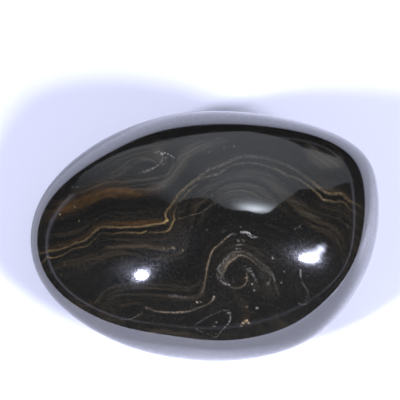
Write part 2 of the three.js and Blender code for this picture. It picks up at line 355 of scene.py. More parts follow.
# Soft stripes along the layers, by kind. Each has its width in grid squares and its strength, one
# number or a few spread evenly along it, and its line. The thin ones are single laminae.
STRIPES = {
    "ochre": [
        ((10, 10, 9, 9, 9, 8), (0.1, 0.38, 0.34, 0.4, 0.48, 0.5, 0.42, 0.15, 0.05), [(52, 214), (62, 210),
            (76, 205), (90, 199), (105, 192.5), (120, 192.5), (135, 193), (150, 192), (161, 190)]),
        (2.6, (0.05, 0.15, 0.35, 0.5, 0.5, 0.35), [(62, 209), (75, 205), (85, 202), (93, 198), (97, 195),
            (103, 192), (108, 190), (115, 189), (126, 190), (134, 192)]),
        (2.0, (0.1, 0.3, 0.2), [(112, 191.5), (122, 192), (134, 193.5), (140, 194)]),
        (9, (0.1, 0.15, 0.15, 0.12), [(60, 206), (72, 200), (84, 194), (98, 186), (112, 182), (124, 184)]),
        (4, (0.1, 0.15, 0.12, 0.17, 0.12, 0.12, 0.2, 0.36, 0.4, 0.35), [(48, 249), (60, 245.5), (70, 241.5),
            (82, 237.5), (91, 231), (98, 225), (112, 223), (130, 223.5), (150, 222), (160, 220.5)]),
        (3, (0.05, 0.12, 0.2, 0.15, 0.15), [(314, 184), (321, 187.5), (330, 190.5), (340, 191.5),
            (349, 198)]),
        (4, (0.03, 0.08, 0.03), [(296, 203), (305, 210), (314, 216)]),
        (3.4, (0.04, 0.13, 0.12, 0.14, 0.1, 0.05), [(106, 248), (118, 246.5), (130, 246), (143, 246.5),
            (153, 247.5), (168, 248.5)]),
        (6, (0.03, 0.08, 0.1), [(247, 306), (247, 312), (245, 320)]),
        (16, 0.3, [(40, 120), (100, 88), (170, 70), (240, 66), (310, 78), (380, 112)]),
    ],
    "brown": [
        (1.8, 0.6, [(76, 199), (85, 194), (92, 190), (98, 187), (106, 185)]),
        (1.6, 0.6, [(64, 203), (76, 194.5), (90, 187.5), (104, 182.5), (116, 180)]),
        (1.6, 0.5, [(66, 198), (78, 190), (92, 183.5), (106, 179), (118, 176)]),
        (1.6, 0.4, [(72, 190), (84, 184), (98, 179), (112, 174)]),
        (2.0, (0.2, 0.45, 0.45, 0.3), [(96, 216), (110, 213), (130, 213), (140, 212.5), (150, 209.5),
            (156, 205)]),
        (1.8, 0.3, [(56, 231), (70, 228), (78, 224), (85, 220), (92, 215)]),
        (2.0, 0.4, [(56, 236), (65, 234), (75, 231), (85, 227), (92, 223), (97, 219)]),
        (1.8, 0.35, [(98, 211), (110, 208), (122, 206), (138, 206.5), (150, 203), (158, 199)]),
        (3.0, 0.55, [(180, 213), (195, 205), (207, 199.5)]),
        (3.0, 0.6, [(184, 206), (194, 199), (204, 194)]),
        (3, (0.8, 0.8, 0.6, 1.0, 1.0), [(155, 258), (165, 257.5), (176, 256), (180, 254), (183.5, 251)]),
        (2.4, (0.8, 0.6, 0.5, 0.2, 0.1), [(160, 261.5), (170, 261.5), (178, 260.5), (184, 257),
            (190, 245)]),
        (2.0, (0.8, 0.4, 0.2, 0.2), [(183, 250), (187, 245), (189, 238), (190, 231)]),
        (2.0, (0.5, 0.6, 0.4, 0.4), [(177, 244), (182, 240), (184, 234), (185, 228)]),
        (4, (0.7, 0.9, 0.7, 0.6, 0.6, 0.6, 0.4), [(97, 301), (100, 296), (105, 291), (111, 287.5),
            (118, 285.5), (130, 284), (140, 285), (150, 286.5), (160, 284.5), (178, 286.5), (187, 288),
            (195, 286), (200, 281)]),
        (1.6, (0.8, 0.9, 0.7, 0.4), [(107, 298), (113, 293), (120, 289.5), (136, 288), (150, 288),
            (176, 289.5), (194, 290)]),
        (1.6, (0.3, 0.6, 0.7, 0.4), [(114, 300), (128, 299), (150, 299.5), (176, 300.5), (196, 300.5)]),
        (1.5, (0.2, 0.5, 0.3, 0.5), [(122, 281), (140, 281), (160, 280.5), (182, 283), (194, 281),
            (200, 275)]),
        (1.5, (0.1, 0.3, 0.3, 0.2), [(126, 303.5), (145, 302.5), (165, 303), (186, 303.5), (202, 299)]),
        (1.5, (0.3, 0.6, 0.6, 0.3), [(94, 264.6), (100, 260), (107, 257.4), (115, 255), (130, 256.5)]),
        (1.5, (0.4, 0.6, 0.5, 0.2), [(152, 254.5), (164, 255), (174, 254), (181, 250), (185.5, 243),
            (188, 235)]),
        (1.5, (0.2, 0.5, 0.5, 0.3), [(150, 243.5), (162, 243), (171, 240), (176, 235), (178, 229)]),
        (3.4, (0.6, 0.8, 0.8, 0.6, 0.7, 0.9, 0.5), [(107, 302), (113, 297), (121, 294.5), (130, 294.5),
            (150, 295), (170, 296.5), (190, 298), (197, 297), (202, 293), (205, 285)]),
        (2.4, 0.4, [(120, 306), (140, 303), (165, 304), (190, 305), (203, 301), (210, 294)]),
        (2.4, (0.6, 0.7, 0.4, 0.5), [(312, 226), (320, 227.5), (328, 229.5), (334, 232), (339, 236),
            (343, 242), (345, 249)]),
        (2.0, 0.4, [(307, 235), (311, 238), (316, 242.5)]),
        (9, (0.4, 0.35, 0.25, 0.3, 0.1), [(276, 188), (290, 197), (303, 205), (316, 210), (332, 214),
            (347, 220)]),
        (1.6, (0.2, 0.5, 0.5, 0.4, 0.2), [(302, 219), (314, 221.5), (326, 223.5), (337, 227), (346, 233)]),
        (1.6, (0.2, 0.4, 0.4, 0.2), [(288, 277), (292, 287), (296, 295), (301, 302)]),
        (1.6, (0.2, 0.5, 0.5, 0.3), [(291, 276), (296, 286), (299, 294), (303, 301)]),
        (1.8, (0.2, 0.6, 0.7, 0.4), [(302, 277), (306, 284), (308.5, 291), (307.5, 298), (304, 303)]),
        (1.6, (0.2, 0.4, 0.2), [(297, 279), (301, 288), (302, 296)]),
        (7, (0.3, 0.5, 0.35, 0.3), [(70, 262), (90, 257), (108, 251), (124, 251)]),
        (1.8, (0.3, 0.6, 0.5), [(66, 268), (84, 263), (102, 256), (118, 253.5), (140, 254)]),
        (1.8, (0.3, 0.5, 0.5, 0.2), [(96, 243), (112, 240), (134, 239.5), (156, 240), (172, 238)]),
        (1.8, (0.3, 0.5, 0.3), [(60, 261), (74, 256), (90, 250), (106, 243)]),
        (7, (0.3, 0.5, 0.3), [(244, 304), (247, 312), (246, 321)]),
        (12, 0.2, [(262, 286), (270, 294), (276, 286), (270, 276)]),
    ],
    "grey": [
        (8, (0.1, 0.15, 0.15, 0.15), [(62, 204), (75, 196), (88, 188), (100, 182), (112, 178)]),
        ((8, 9, 10, 11, 10, 8), (0.35, 0.6, 0.65, 0.65, 0.65, 0.7, 0.8, 0.85, 0.7, 0.3), [(150, 189.5),
            (162, 186.5), (169, 180), (175, 172), (181, 164), (184, 157), (190, 150.5), (200, 147.5),
            (210, 145), (222, 141)]),
        (1.5, (0.1, 0.4, 0.5, 0.5, 0.5, 0.6, 0.6, 0.6, 0.5, 0.3), [(100, 192), (109, 190.4), (118, 189),
            (129, 189.8), (138, 189), (146, 189), (158, 188.4), (164, 185), (169, 179), (173.5, 173.5),
            (178, 166)]),
        (1.5, (0.1, 0.3, 0.45, 0.5, 0.6, 0.4), [(62, 203), (74, 195), (91, 188), (105, 182.5), (115, 181),
            (132, 182.5)]),
        (1.5, (0.3, 0.5, 0.5, 0.3), [(126, 187), (135, 185.6), (152, 183.4), (161, 182), (167, 177)]),
        (2.4, (0.3, 0.6, 0.6, 0.2), [(137, 160), (145, 158.8), (151, 160), (157, 163)]),
        (1.4, (0.2, 0.5, 0.5, 0.3), [(172, 157), (173.4, 163), (169.5, 171.5), (163, 177)]),
        (1.6, (0.1, 0.3, 0.4, 0.4, 0.35, 0.2), [(102, 166), (115, 157.7), (132, 150.6), (146, 147),
            (161, 145), (176, 142), (192, 140.6)]),
        (1.5, (0.1, 0.4, 0.4, 0.2), [(104, 170), (118, 161), (134, 154.5), (148, 151.5), (158, 150.5)]),
        (1.4, (0.2, 0.4, 0.4, 0.2), [(110, 176), (121, 167), (131, 160), (140, 156.5), (150, 156),
            (158, 158)]),
        (1.4, (0.2, 0.4, 0.3), [(198, 141.5), (208, 140.5), (220, 138)]),
        (3, 0.3, [(160, 186), (168, 178), (174, 170), (178, 163), (182, 157)]),
        (4, 0.3, [(203, 147), (209, 144.5), (216, 141.5), (228, 140.5)]),
        (2.4, (0.3, 0.4, 0.35, 0.35, 0.6, 0.3), [(98, 182), (112, 177.5), (122, 173), (128, 167),
            (135, 163), (142, 160.5), (150, 160), (156, 162)]),
        (2.4, (0.2, 0.45, 0.45, 0.5, 0.2), [(120, 184), (128, 181), (140, 180.5), (150, 179), (158, 177.5),
            (165, 175)]),
        (2.0, (0.3, 0.1, 0.3), [(112, 173), (124, 168), (136, 168), (150, 172)]),
        (10, (0.5, 0.5, 0.15), [(157, 152), (163, 160), (167, 166)]),
        ((12, 15, 12), (0.7, 0.9, 1.0, 0.8), [(310, 151), (317, 158), (327, 162), (337, 162)]),
        *arch_laminae( (0.0, 1.8, 0.25), (0.12, 1.4, 0.25), (0.24, 1.8, 0.32), (0.36, 1.5, 0.25), (0.6, 1.5,
            0.4), (0.69, 2.2, 0.45), (0.79, 1.4, 0.35), (1.0, 1.8, 0.6), (1.14, 1.3, 0.35), (1.25, 1.6,
            0.4), (1.42, 1.6, 0.3)),
        (3, (0.3, 0.4, 0.2), [(199, 192), (207, 187), (216, 184)]),
        (2, (0.2, 0.3, 0.2), [(201, 195), (209, 190), (218, 188)]),
        (6, (0.2, 0.28, 0.2, 0.15), [(240, 175), (250, 172.5), (262, 173), (272, 177)]),
        (6, (0.2, 0.35, 0.2), [(264, 179), (275, 185), (285, 191)]),
        (2.4, (0.35, 0.35, 0.3, 0.1), [(274, 190), (290, 195), (297, 202), (303, 209)]),
        (5, (0.1, 0.3, 0.25, 0.3, 0.2, 0.2), [(106, 248), (118, 246.5), (130, 246), (143, 246.5),
            (153, 247.5), (168, 248.5)]),
        (2.6, (0.3, 0.6, 0.4, 0.1), [(288, 200.5), (294, 201), (300, 203.5), (308, 207)]),
        (2.6, (0.1, 0.5, 0.6, 0.1), [(299, 209), (306, 213), (313, 216), (321, 219)]),
        (1.6, (0.2, 0.4, 0.3, 0.2), [(266, 224.5), (273, 226), (281, 230), (288, 232)]),
        (3, (0.2, 0.4, 0.4, 0.2), [(314, 185), (322, 188), (331, 190.5), (341, 192)]),
        (4, (0.1, 0.15, 0.2, 0.2), [(80, 270), (88, 267), (98, 261), (106, 258)]),
        (3, 0.15, [(103, 271), (115, 268), (130, 265)]),
        ((6, 7, 6, 4), (0.2, 0.22, 0.25, 0.3, 0.25, 0.2, 0.1, 0.05, 0.1), [(226, 283), (221, 277),
            (221.5, 269), (226, 262), (233, 256), (241, 253.5), (250, 257), (258, 263), (266, 270)]),
        (8, (0.25, 0.2, 0.1), [(262, 272), (267, 282), (266, 292)]),
        (1.8, (0.3, 0.4, 0.35, 0.3, 0.3, 0.35, 0.3), [(98, 299), (102, 293.5), (109, 288.5), (118, 285.5),
            (130, 284), (158, 284.5), (176, 286), (188, 287.5), (196, 285.5), (201, 280)]),
        (2.0, (0.3, 0.4, 0.3, 0.35, 0.4, 0.3), [(109, 300.5), (115, 296.5), (124, 294.5), (136, 294.2),
            (150, 294.6), (170, 296.5), (190, 298), (199, 295.5), (204, 287)]),
        (1.4, (0.1, 0.25, 0.2, 0.2), [(108, 296), (116, 290.5), (130, 288.4), (160, 288.6), (190, 291)]),
        (1.4, (0.1, 0.25, 0.2), [(154, 256.4), (166, 257.8), (176, 255.6), (183, 252), (187, 244.6)]),
        (16, 0.5, [(120, 60), (200, 40), (290, 45), (360, 70)]),
    ],
    "dark": [
        (13, (0.5, 0.8, 0.8, 0.7, 0.5), [(60, 224), (85, 214), (105, 205), (130, 204), (155, 202),
            (168, 196), (183, 178), (200, 159)]),
        (16, 0.5, [(205, 155), (245, 146), (285, 150), (310, 166), (340, 180)]),
        (26, (0.6, 0.8, 0.7), [(200, 245), (222, 222), (240, 217), (262, 221), (285, 232)]),
        (14, (0.3, 0.7, 0.7), [(190, 218), (195, 236), (194, 262)]),
        (18, 0.55, [(258, 231), (276, 240), (288, 250)]),
        (16, (0.4, 0.6, 0.5), [(256, 312), (278, 309), (298, 301)]),
        (14, 0.6, [(284, 272), (284, 285), (288, 300)]),
        (10, 0.5, [(160, 318), (185, 319), (200, 318)]),
        (3, 0.8, [(60, 253), (95, 234), (115, 230.5), (145, 229.5), (168, 226)]),
        *arch_laminae((0.48, 3.0, 0.8), (0.88, 1.6, 0.7), (0.06, 1.4, 0.5), (1.07, 1.2, 0.6)),
        (3, 0.7, [(148, 251.5), (160, 252), (170, 251.5), (177, 249)]),
        (3, 0.8, [(122, 292.5), (140, 291.5), (160, 291.5), (190, 293.5), (199, 288)]),
        (12, (0.2, 0.3, 0.2), [(70, 183), (86, 184), (100, 178), (112, 171)]),
        (1.6, 0.4, [(64, 204), (78, 198), (90, 191.5), (104, 185.5)]),
        (1.5, 0.6, [(168, 157), (170, 165), (166, 172), (158, 175.5), (146, 176.5)]),
        (1.5, 0.6, [(175, 157), (176.4, 164), (172, 172), (165, 179), (150, 181.5), (136, 184)]),
        (1.3, 0.6, [(186, 150), (196, 145.5), (206, 142.5), (218, 140)]),
        (9, (0.3, 0.6, 0.3), [(127, 172), (138, 167.5), (150, 164.5)]),
        (1.6, 0.7, [(72, 196), (84, 190), (96, 183.5), (108, 180.5), (122, 180)]),
        (1.6, 0.6, [(104, 187.5), (112, 185.5), (124, 186), (138, 187.5), (150, 186)]),
        (8, (0.5, 0.8, 0.4), [(300, 193), (309, 195), (318, 203)]),
        (7, (0.3, 0.6, 0.6, 0.3), [(286, 212), (298, 220), (310, 231), (325, 237)]),
        (10, 0.6, [(344, 180), (352, 190)]),
        (16, (0.4, 0.6, 0.4), [(60, 285), (85, 290), (104, 280), (130, 275), (165, 272), (195, 272)]),
        (18, (0.4, 0.8, 0.8), [(335, 262), (325, 288), (302, 310)]),
        (5, 0.6, [(213, 230), (217, 223), (224, 217)]),
        (7, 0.6, [(332, 221), (341, 228), (346, 240), (347, 252)]),
        (14, 0.8, [(248, 296), (257, 301), (263, 310)]),
        (12, 0.6, [(288, 304), (297, 292), (298, 280)]),
        (20, 0.85, [(200, 326), (212, 325), (226, 320)]),
        (5, 0.6, [(256, 243), (270, 250), (284, 262)]),
        (9, 0.5, [(233, 272), (240, 272), (243, 279)]),
        (22, 0.7, [(60, 180), (90, 150), (130, 132), (180, 120), (240, 118), (300, 124), (345, 146),
            (366, 185)]),
        (70, (0.2, 0.3, 0.35, 0.35, 0.3), [(120, 296), (165, 290), (205, 268), (250, 290), (300, 296)]),
    ],
    # Where iron has stained the veins: elsewhere they are cream to grey.
    "warm": [
        (60, 1.0, [(20, 262), (60, 250), (100, 232), (160, 226), (170, 216)]),
        (26, (1.0, 0.7, 0.4, 0.3, 0.4, 0.8, 1.0), [(170, 216), (178, 196), (205, 172), (250, 158),
            (290, 170), (318, 190), (356, 210)]),
        (24, 0.45, [(145, 308), (180, 312), (214, 298)]),
        (12, (0.5, 0.8), [(247, 306), (245, 323)]),
        (14, 0.7, [(205, 285), (209, 258), (222, 242)]),
        (6, 0.6, [(224, 272), (230, 262), (238, 256.5), (250, 260), (262, 270)]),
        (6, 0.6, [(246, 272), (247, 279), (242, 287), (232, 288)]),
    ],
}

# Flecks of pale mineral: the place on the grid, the radius in grid squares, and the share of the
# mineral's full brightness.
FLECKS = [
    (166.8, 220.8, 2.4, 1.0), (164.8, 222.6, 1.8, 0.8), (252, 284, 1.2, 0.4), (254, 290, 1.5, 0.5),
    (272.5, 258, 1.6, 0.6), (281.5, 282.5, 1.4, 0.5), (284, 272, 1.3, 0.35), (268, 283, 1.5, 0.5),
    (257, 308, 1.4, 0.6), (197.5, 302, 1.4, 0.8), (200.5, 302, 1.2, 0.4), (216, 322, 1.3, 0.4),
    (214, 326, 1.0, 0.3), (224, 147, 1.2, 0.3), (233.5, 146, 1.5, 0.3), (209, 152.5, 1.2, 0.4),
    (79, 221, 1.1, 0.4), (60, 214, 1.1, 0.5), (75, 207, 1.2, 0.3), (97, 195, 1.4, 0.3),
    (238, 241, 1.4, 0.4), (243, 241, 1.3, 0.3), (207, 230, 1.2, 0.35), (223, 231, 1.2, 0.3),
    (241, 227, 1.2, 0.3), (241, 326, 1.4, 0.5), (243.5, 323, 1.8, 0.9), (246.5, 320.5, 1.8, 1.0),
    (248.3, 323, 1.4, 0.8), (247, 307, 1.3, 0.3), (162, 153.5, 1.5, 0.6), (163.5, 164, 1.2, 0.3),
    (166, 158, 1.1, 0.25), (150.5, 169.5, 1.6, 0.4), (172.5, 247, 1.4, 0.45), (174, 249, 1.2, 0.4),
    (183, 250.5, 1.3, 0.4), (164, 248.5, 1.3, 0.3), (147, 308, 1.3, 0.3), (246, 278, 1.4, 0.45),
    (247.5, 281, 1.2, 0.4), (232, 281, 1.2, 0.3), (229, 285, 1.5, 0.35), (171, 296, 1.2, 0.4),
    (175, 247, 1.1, 0.3), (268.5, 175, 1.2, 0.2), (212, 195, 1.3, 0.2), (228, 313, 1.3, 0.4),
    (64.5, 264, 1.3, 0.2), (78, 266, 1.2, 0.2), (61, 275.5, 1.3, 0.25), (192, 227, 1.2, 0.25),
    (324, 200, 1.2, 0.25), (236.5, 249, 1.5, 0.3), (240, 248.5, 1.3, 0.25),
]


def thin_plate(a, b):
    """How each place of b bends a smooth sheet at each place of a."""
    tiny = 1e-9
    distance = np.linalg.norm(a[:, None, :] - b[None, :, :], axis=2)
    return distance**2 * np.log(distance + tiny)


def layer_heights(grid):
    """How high each place lies across the layers, in grid squares, from the horizons."""
    places = np.array([point for _, line in HORIZONS for point in line], float)
    heights = np.array([level for level, line in HORIZONS for _ in line], float)
    count = len(places)
    # How loosely the smooth sheet of heights follows the horizons.
    slack = 6.0
    plain = np.column_stack([np.ones(count), places])
    system = np.zeros((count + 3, count + 3))
    system[:count, :count] = thin_plate(places, places) + slack * np.eye(count)
    system[:count, count:] = plain
    system[count:, :count] = plain.T
    weights = np.linalg.solve(system, np.concatenate([heights, np.zeros(3)]))
    out = np.empty(len(grid))
    batch = 20000
    for start in range(0, len(grid), batch):
        part = grid[start : start + batch]
        bent = thin_plate(part, places) @ weights[:count]
        out[start : start + batch] = bent + weights[count] + part @ weights[count + 1 :]
    return out


def smooth_line(points, step=1.5):
    """A dense line through the points, as a Catmull-Rom spline, with its running parameter."""
    ends = np.vstack([2 * points[0] - points[1], points, 2 * points[-1] - points[-2]])
    line = []
    along = []
    for i in range(len(points) - 1):
        a, b, c, d = ends[i : i + 4]
        pieces = max(1, int(np.ceil(np.linalg.norm(c - b) / step)))
        for t in np.arange(pieces) / pieces:
            bend = (2 * a - 5 * b + 4 * c - d) * t**2 + (3 * b - a - 3 * c + d) * t**3
            line.append(0.5 * (2 * b + (c - a) * t + bend))
            along.append(i + t)
    line.append(points[-1])
    along.append(len(points) - 1)
    return np.array(line), np.array(along, float)


def near_line(grid, points, margin):
    """For the places within margin of a line: their index, signed distance, parameter along the
    line from 0 to 1, and whether they lie beside it, not past an end."""
    line, along = smooth_line(np.array(points, float))
    low = line.min(axis=0) - margin
    high = line.max(axis=0) + margin
    index = np.flatnonzero(((grid > low) & (grid < high)).all(axis=1))
    best = np.full(len(index), np.inf)
    signed = np.zeros(len(index))
    place = np.zeros(len(index))
    beside = np.zeros(len(index), bool)
    spots = grid[index]
    for i, step in enumerate(np.diff(line, axis=0)):
        offset = spots - line[i]
        t = offset @ step / (step @ step)
        inside = np.clip(t, 0, 1)
        distance = np.linalg.norm(offset - inside[:, None] * step, axis=1)
        closer = distance < best
        best[closer] = distance[closer]
        side = np.sign(step[0] * offset[:, 1] - step[1] * offset[:, 0])
        signed[closer] = (distance * side)[closer]
        place[closer] = (along[i] + inside * (along[i + 1] - along[i]))[closer]
        past = ((t < 0) & (i == 0)) | ((t > 1) & (i == len(line) - 2))
        beside[closer] = ~past[closer]
    keep = best < margin
    return index[keep], signed[keep], place[keep] / (len(points) - 1), beside[keep]


def spread_along(place, numbers):
    """One number, or a few spread evenly along a line, at each place's parameter on it."""
    numbers = np.atleast_1d(numbers)
    return np.interp(place, np.linspace(0, 1, len(numbers)), numbers)


def vein_attribute(grid, veins):
    """Per place: signed distance to the nearest vein and its half width, both in millimetres, and
    its brightness there, which dies away beside it and past its ends."""
    clear = 6.0
    out = np.zeros((len(grid), 3))
    out[:, 0] = clear
    nearest = np.full(len(grid), np.inf)
    for widths, shares, points in veins.values():
        index, signed, place, beside = near_line(grid, points, clear)
        bright = spread_along(place, shares) * beside
        bright *= np.clip(2 - 2 * np.abs(signed) / clear, 0, 1)
        closer = np.abs(signed) < nearest[index]
        chosen = index[closer]
        nearest[chosen] = np.abs(signed)[closer]
        out[chosen] = np.column_stack([signed, spread_along(place, widths) / 2, bright])[closer]
    out[:, :2] *= GRID_SQUARE
    return out


def stripe_strength(grid, stripes):
    """How strongly the stripes of one kind colour each place, from 0 to 1, with soft sides. A
    stripe has lost most of its strength at the shoulder and all of it where it has faded, both as
    shares of its width from its line."""
    faded = 1.2
    shoulder = 0.565
    bare = np.ones(len(grid))
    for widths, strengths, points in stripes:
        index, signed, place, _ = near_line(grid, points, faded * np.max(widths))
        across = np.abs(signed) / (shoulder * spread_along(place, widths))
        bare[index] *= 1 - spread_along(place, strengths) * np.exp(-(across**3))
    return 1 - bare


def fleck_strength(grid):
    """How bright the flecks are at each place: full near their middles and gone near their rims."""
    fade = 2.2
    out = np.zeros(len(grid))
    for x, y, radius, bright in FLECKS:
        distance = np.linalg.norm(grid - (x, y), axis=1)
        out = np.maximum(out, bright * np.clip(2 - fade * distance / radius, 0, 1))
    return out


# ---------------------------------------------------------------------------------------------
# Small helpers for colours, nodes and meshes.


def srgb(hex_colour):
    """A hex colour such as "#2b2622" as linear RGBA."""
    channels = [int(hex_colour[i : i + 2], 16) / 255 for i in (1, 3, 5)]
    linear = [c / 12.92 if c <= 0.04045 else ((c + 0.055) / 1.055) ** 2.4 for c in channels]
    return (*linear, 1.0)


def add_node(tree, kind, inputs=None, out=0, **settings):
    """Adds a node and returns one of its output sockets. An input is a value or the socket that
    feeds it, and the settings are the node's own properties."""
    node = tree.nodes.new(kind)
    for key, value in settings.items():
        setattr(node, key, value)
    for key, value in (inputs or {}).items():
        if isinstance(value, bpy.types.NodeSocket):
            tree.links.new(value, node.inputs[key])
        else:
            node.inputs[key].default_value = value
    return node.outputs[out] if node.outputs else None


# Inputs 1 to 4 of a map range node are the two ends that it reads and the two that it gives. A mix
# node takes two numbers at inputs 2 and 3, or two colours at 6 and 7 with its output 2.
MATHS = "ShaderNodeMath"
VECTORS = "ShaderNodeVectorMath"
NOISE = "ShaderNodeTexNoise"
RANGE = "ShaderNodeMapRange"
MIX = "ShaderNodeMix"
STORED = "ShaderNodeAttribute"
SMOOTH = {"interpolation_type": "SMOOTHSTEP"}


def empty_material(name):
    material = bpy.data.materials.new(name)
    material.use_nodes = True
    material.node_tree.nodes.clear()
    return material


def geodesic_ball(rows):
    """Vertices and triangles of an icosahedron with each edge split into rows, on a unit ball."""
    ring = [(math.cos(math.radians(72 * i)), math.sin(math.radians(72 * i))) for i in range(5)]
    turned = [(math.cos(math.radians(72 * i + 36)), math.sin(math.radians(72 * i + 36))) for i in range(5)]
    corners = [(0, 0, math.sqrt(5) / 2)]
    corners += [(x, y, 0.5) for x, y in ring]
    corners += [(x, y, -0.5) for x, y in turned]
    corners += [(0, 0, -math.sqrt(5) / 2)]
    corners = np.array(corners)
    faces = []
    for i in range(5):
        j = (i + 1) % 5
        faces += [(0, 1 + i, 1 + j), (1 + i, 6 + i, 1 + j), (1 + j, 6 + i, 6 + j), (11, 6 + j, 6 + i)]
    steps = [(i, j) for i in range(rows + 1) for j in range(rows + 1 - i)]
    number = {s: n for n, s in enumerate(steps)}
    weights = np.array([(rows - i - j, i, j) for i, j in steps]) / rows
    small = [(number[i, j], number[i + 1, j], number[i, j + 1]) for i, j in steps if i + j < rows]
    small += [
        (number[i + 1, j], number[i + 1, j + 1], number[i, j + 1]) for i, j in steps if i + j < rows - 1
    ]
    points = np.concatenate([weights @ corners[list(face)] for face in faces])
    triangles = np.concatenate([np.array(small) + k * len(steps) for k in range(len(faces))])
    _, first, same = np.unique(np.round(points, 6), axis=0, return_index=True, return_inverse=True)
    points = points[first]
    return points / np.linalg.norm(points, axis=1, keepdims=True), same.reshape(-1)[triangles]


def new_piece(name, points, faces, material):
    mesh = bpy.data.meshes.new(name)
    mesh.from_pydata(points, [], faces)
    mesh.polygons.foreach_set("use_smooth", np.ones(len(faces), bool))
    mesh.validate()
    mesh.materials.append(material)
    piece = bpy.data.objects.new(name, mesh)
    bpy.context.scene.collection.objects.link(piece)
    return piece


def keep_values(mesh, name, values):
    """Stores one number or one vector per vertex for the material to read."""
    kind, field = ("FLOAT", "value") if values.ndim == 1 else ("FLOAT_VECTOR", "vector")
    attribute = mesh.attributes.new(name, kind, "POINT")
    attribute.data.foreach_set(field, values.astype(np.float32).ravel())


# ---------------------------------------------------------------------------------------------
# Settings that a user would change.

COLOUR = {"subtype": "COLOR", "size": 4, "min": 0, "max": 1}


class StoneSettings(bpy.types.PropertyGroup):
    mesh_rows: IntProperty(
        name="Mesh rows",
        description="How many rows each side of the starting icosahedron is split into",
        default=99, min=16, max=99,
    )
    bed_black: FloatVectorProperty(
        name="Dark layers", description="Colour of the near black layers",
        default=srgb("#191915"), **COLOUR,
    )
    bed_brown: FloatVectorProperty(
        name="Brown laminae", description="Colour of the thin brown laminae",
        default=srgb("#352e21"), **COLOUR,
    )
    bed_ochre: FloatVectorProperty(
        name="Ochre bed", description="Colour of the iron-stained tan band",
        default=srgb("#63451f"), **COLOUR,
    )
    bed_grey: FloatVectorProperty(
        name="Grey bed", description="Colour of the cloudy grey-tan layers",
        default=srgb("#4b4639"), **COLOUR,
    )
    vein_gold: FloatVectorProperty(
        name="Golden veins", description="Colour of the iron-stained calcite veins",
        default=srgb("#a28653"), **COLOUR,
    )
    vein_cream: FloatVectorProperty(
        name="Cream veins", description="Colour of the clean calcite veins and flecks",
        default=srgb("#9e9889"), **COLOUR,
    )
    lamina_width: FloatProperty(
        name="Lamina width", description="Typical width of one lamina, in millimetres",
        default=0.8, min=0.2, max=5,
    )


class StageSettings(bpy.types.PropertyGroup):
    sheet_size: FloatProperty(
        name="Sheet size", description="Width of the pale sheet under the stone",
        default=12.0, min=0.5, max=40, unit="LENGTH",
    )
    sheet_colour: FloatVectorProperty(
        name="Sheet colour", description="Colour of the pale sheet",
        default=srgb("#f3f3f3"), **COLOUR,
    )
    light_colour: FloatVectorProperty(
        name="Light colour", description="Colour of all the light in the studio",
        default=srgb("#dde1ff"), **COLOUR,
    )
    cloth_colour: FloatVectorProperty(
        name="Cloth colour", description="Colour of the lit cloth that the polish mirrors",
        default=srgb("#e9f1ff"), **COLOUR,
    )


# ---------------------------------------------------------------------------------------------
# The materials.


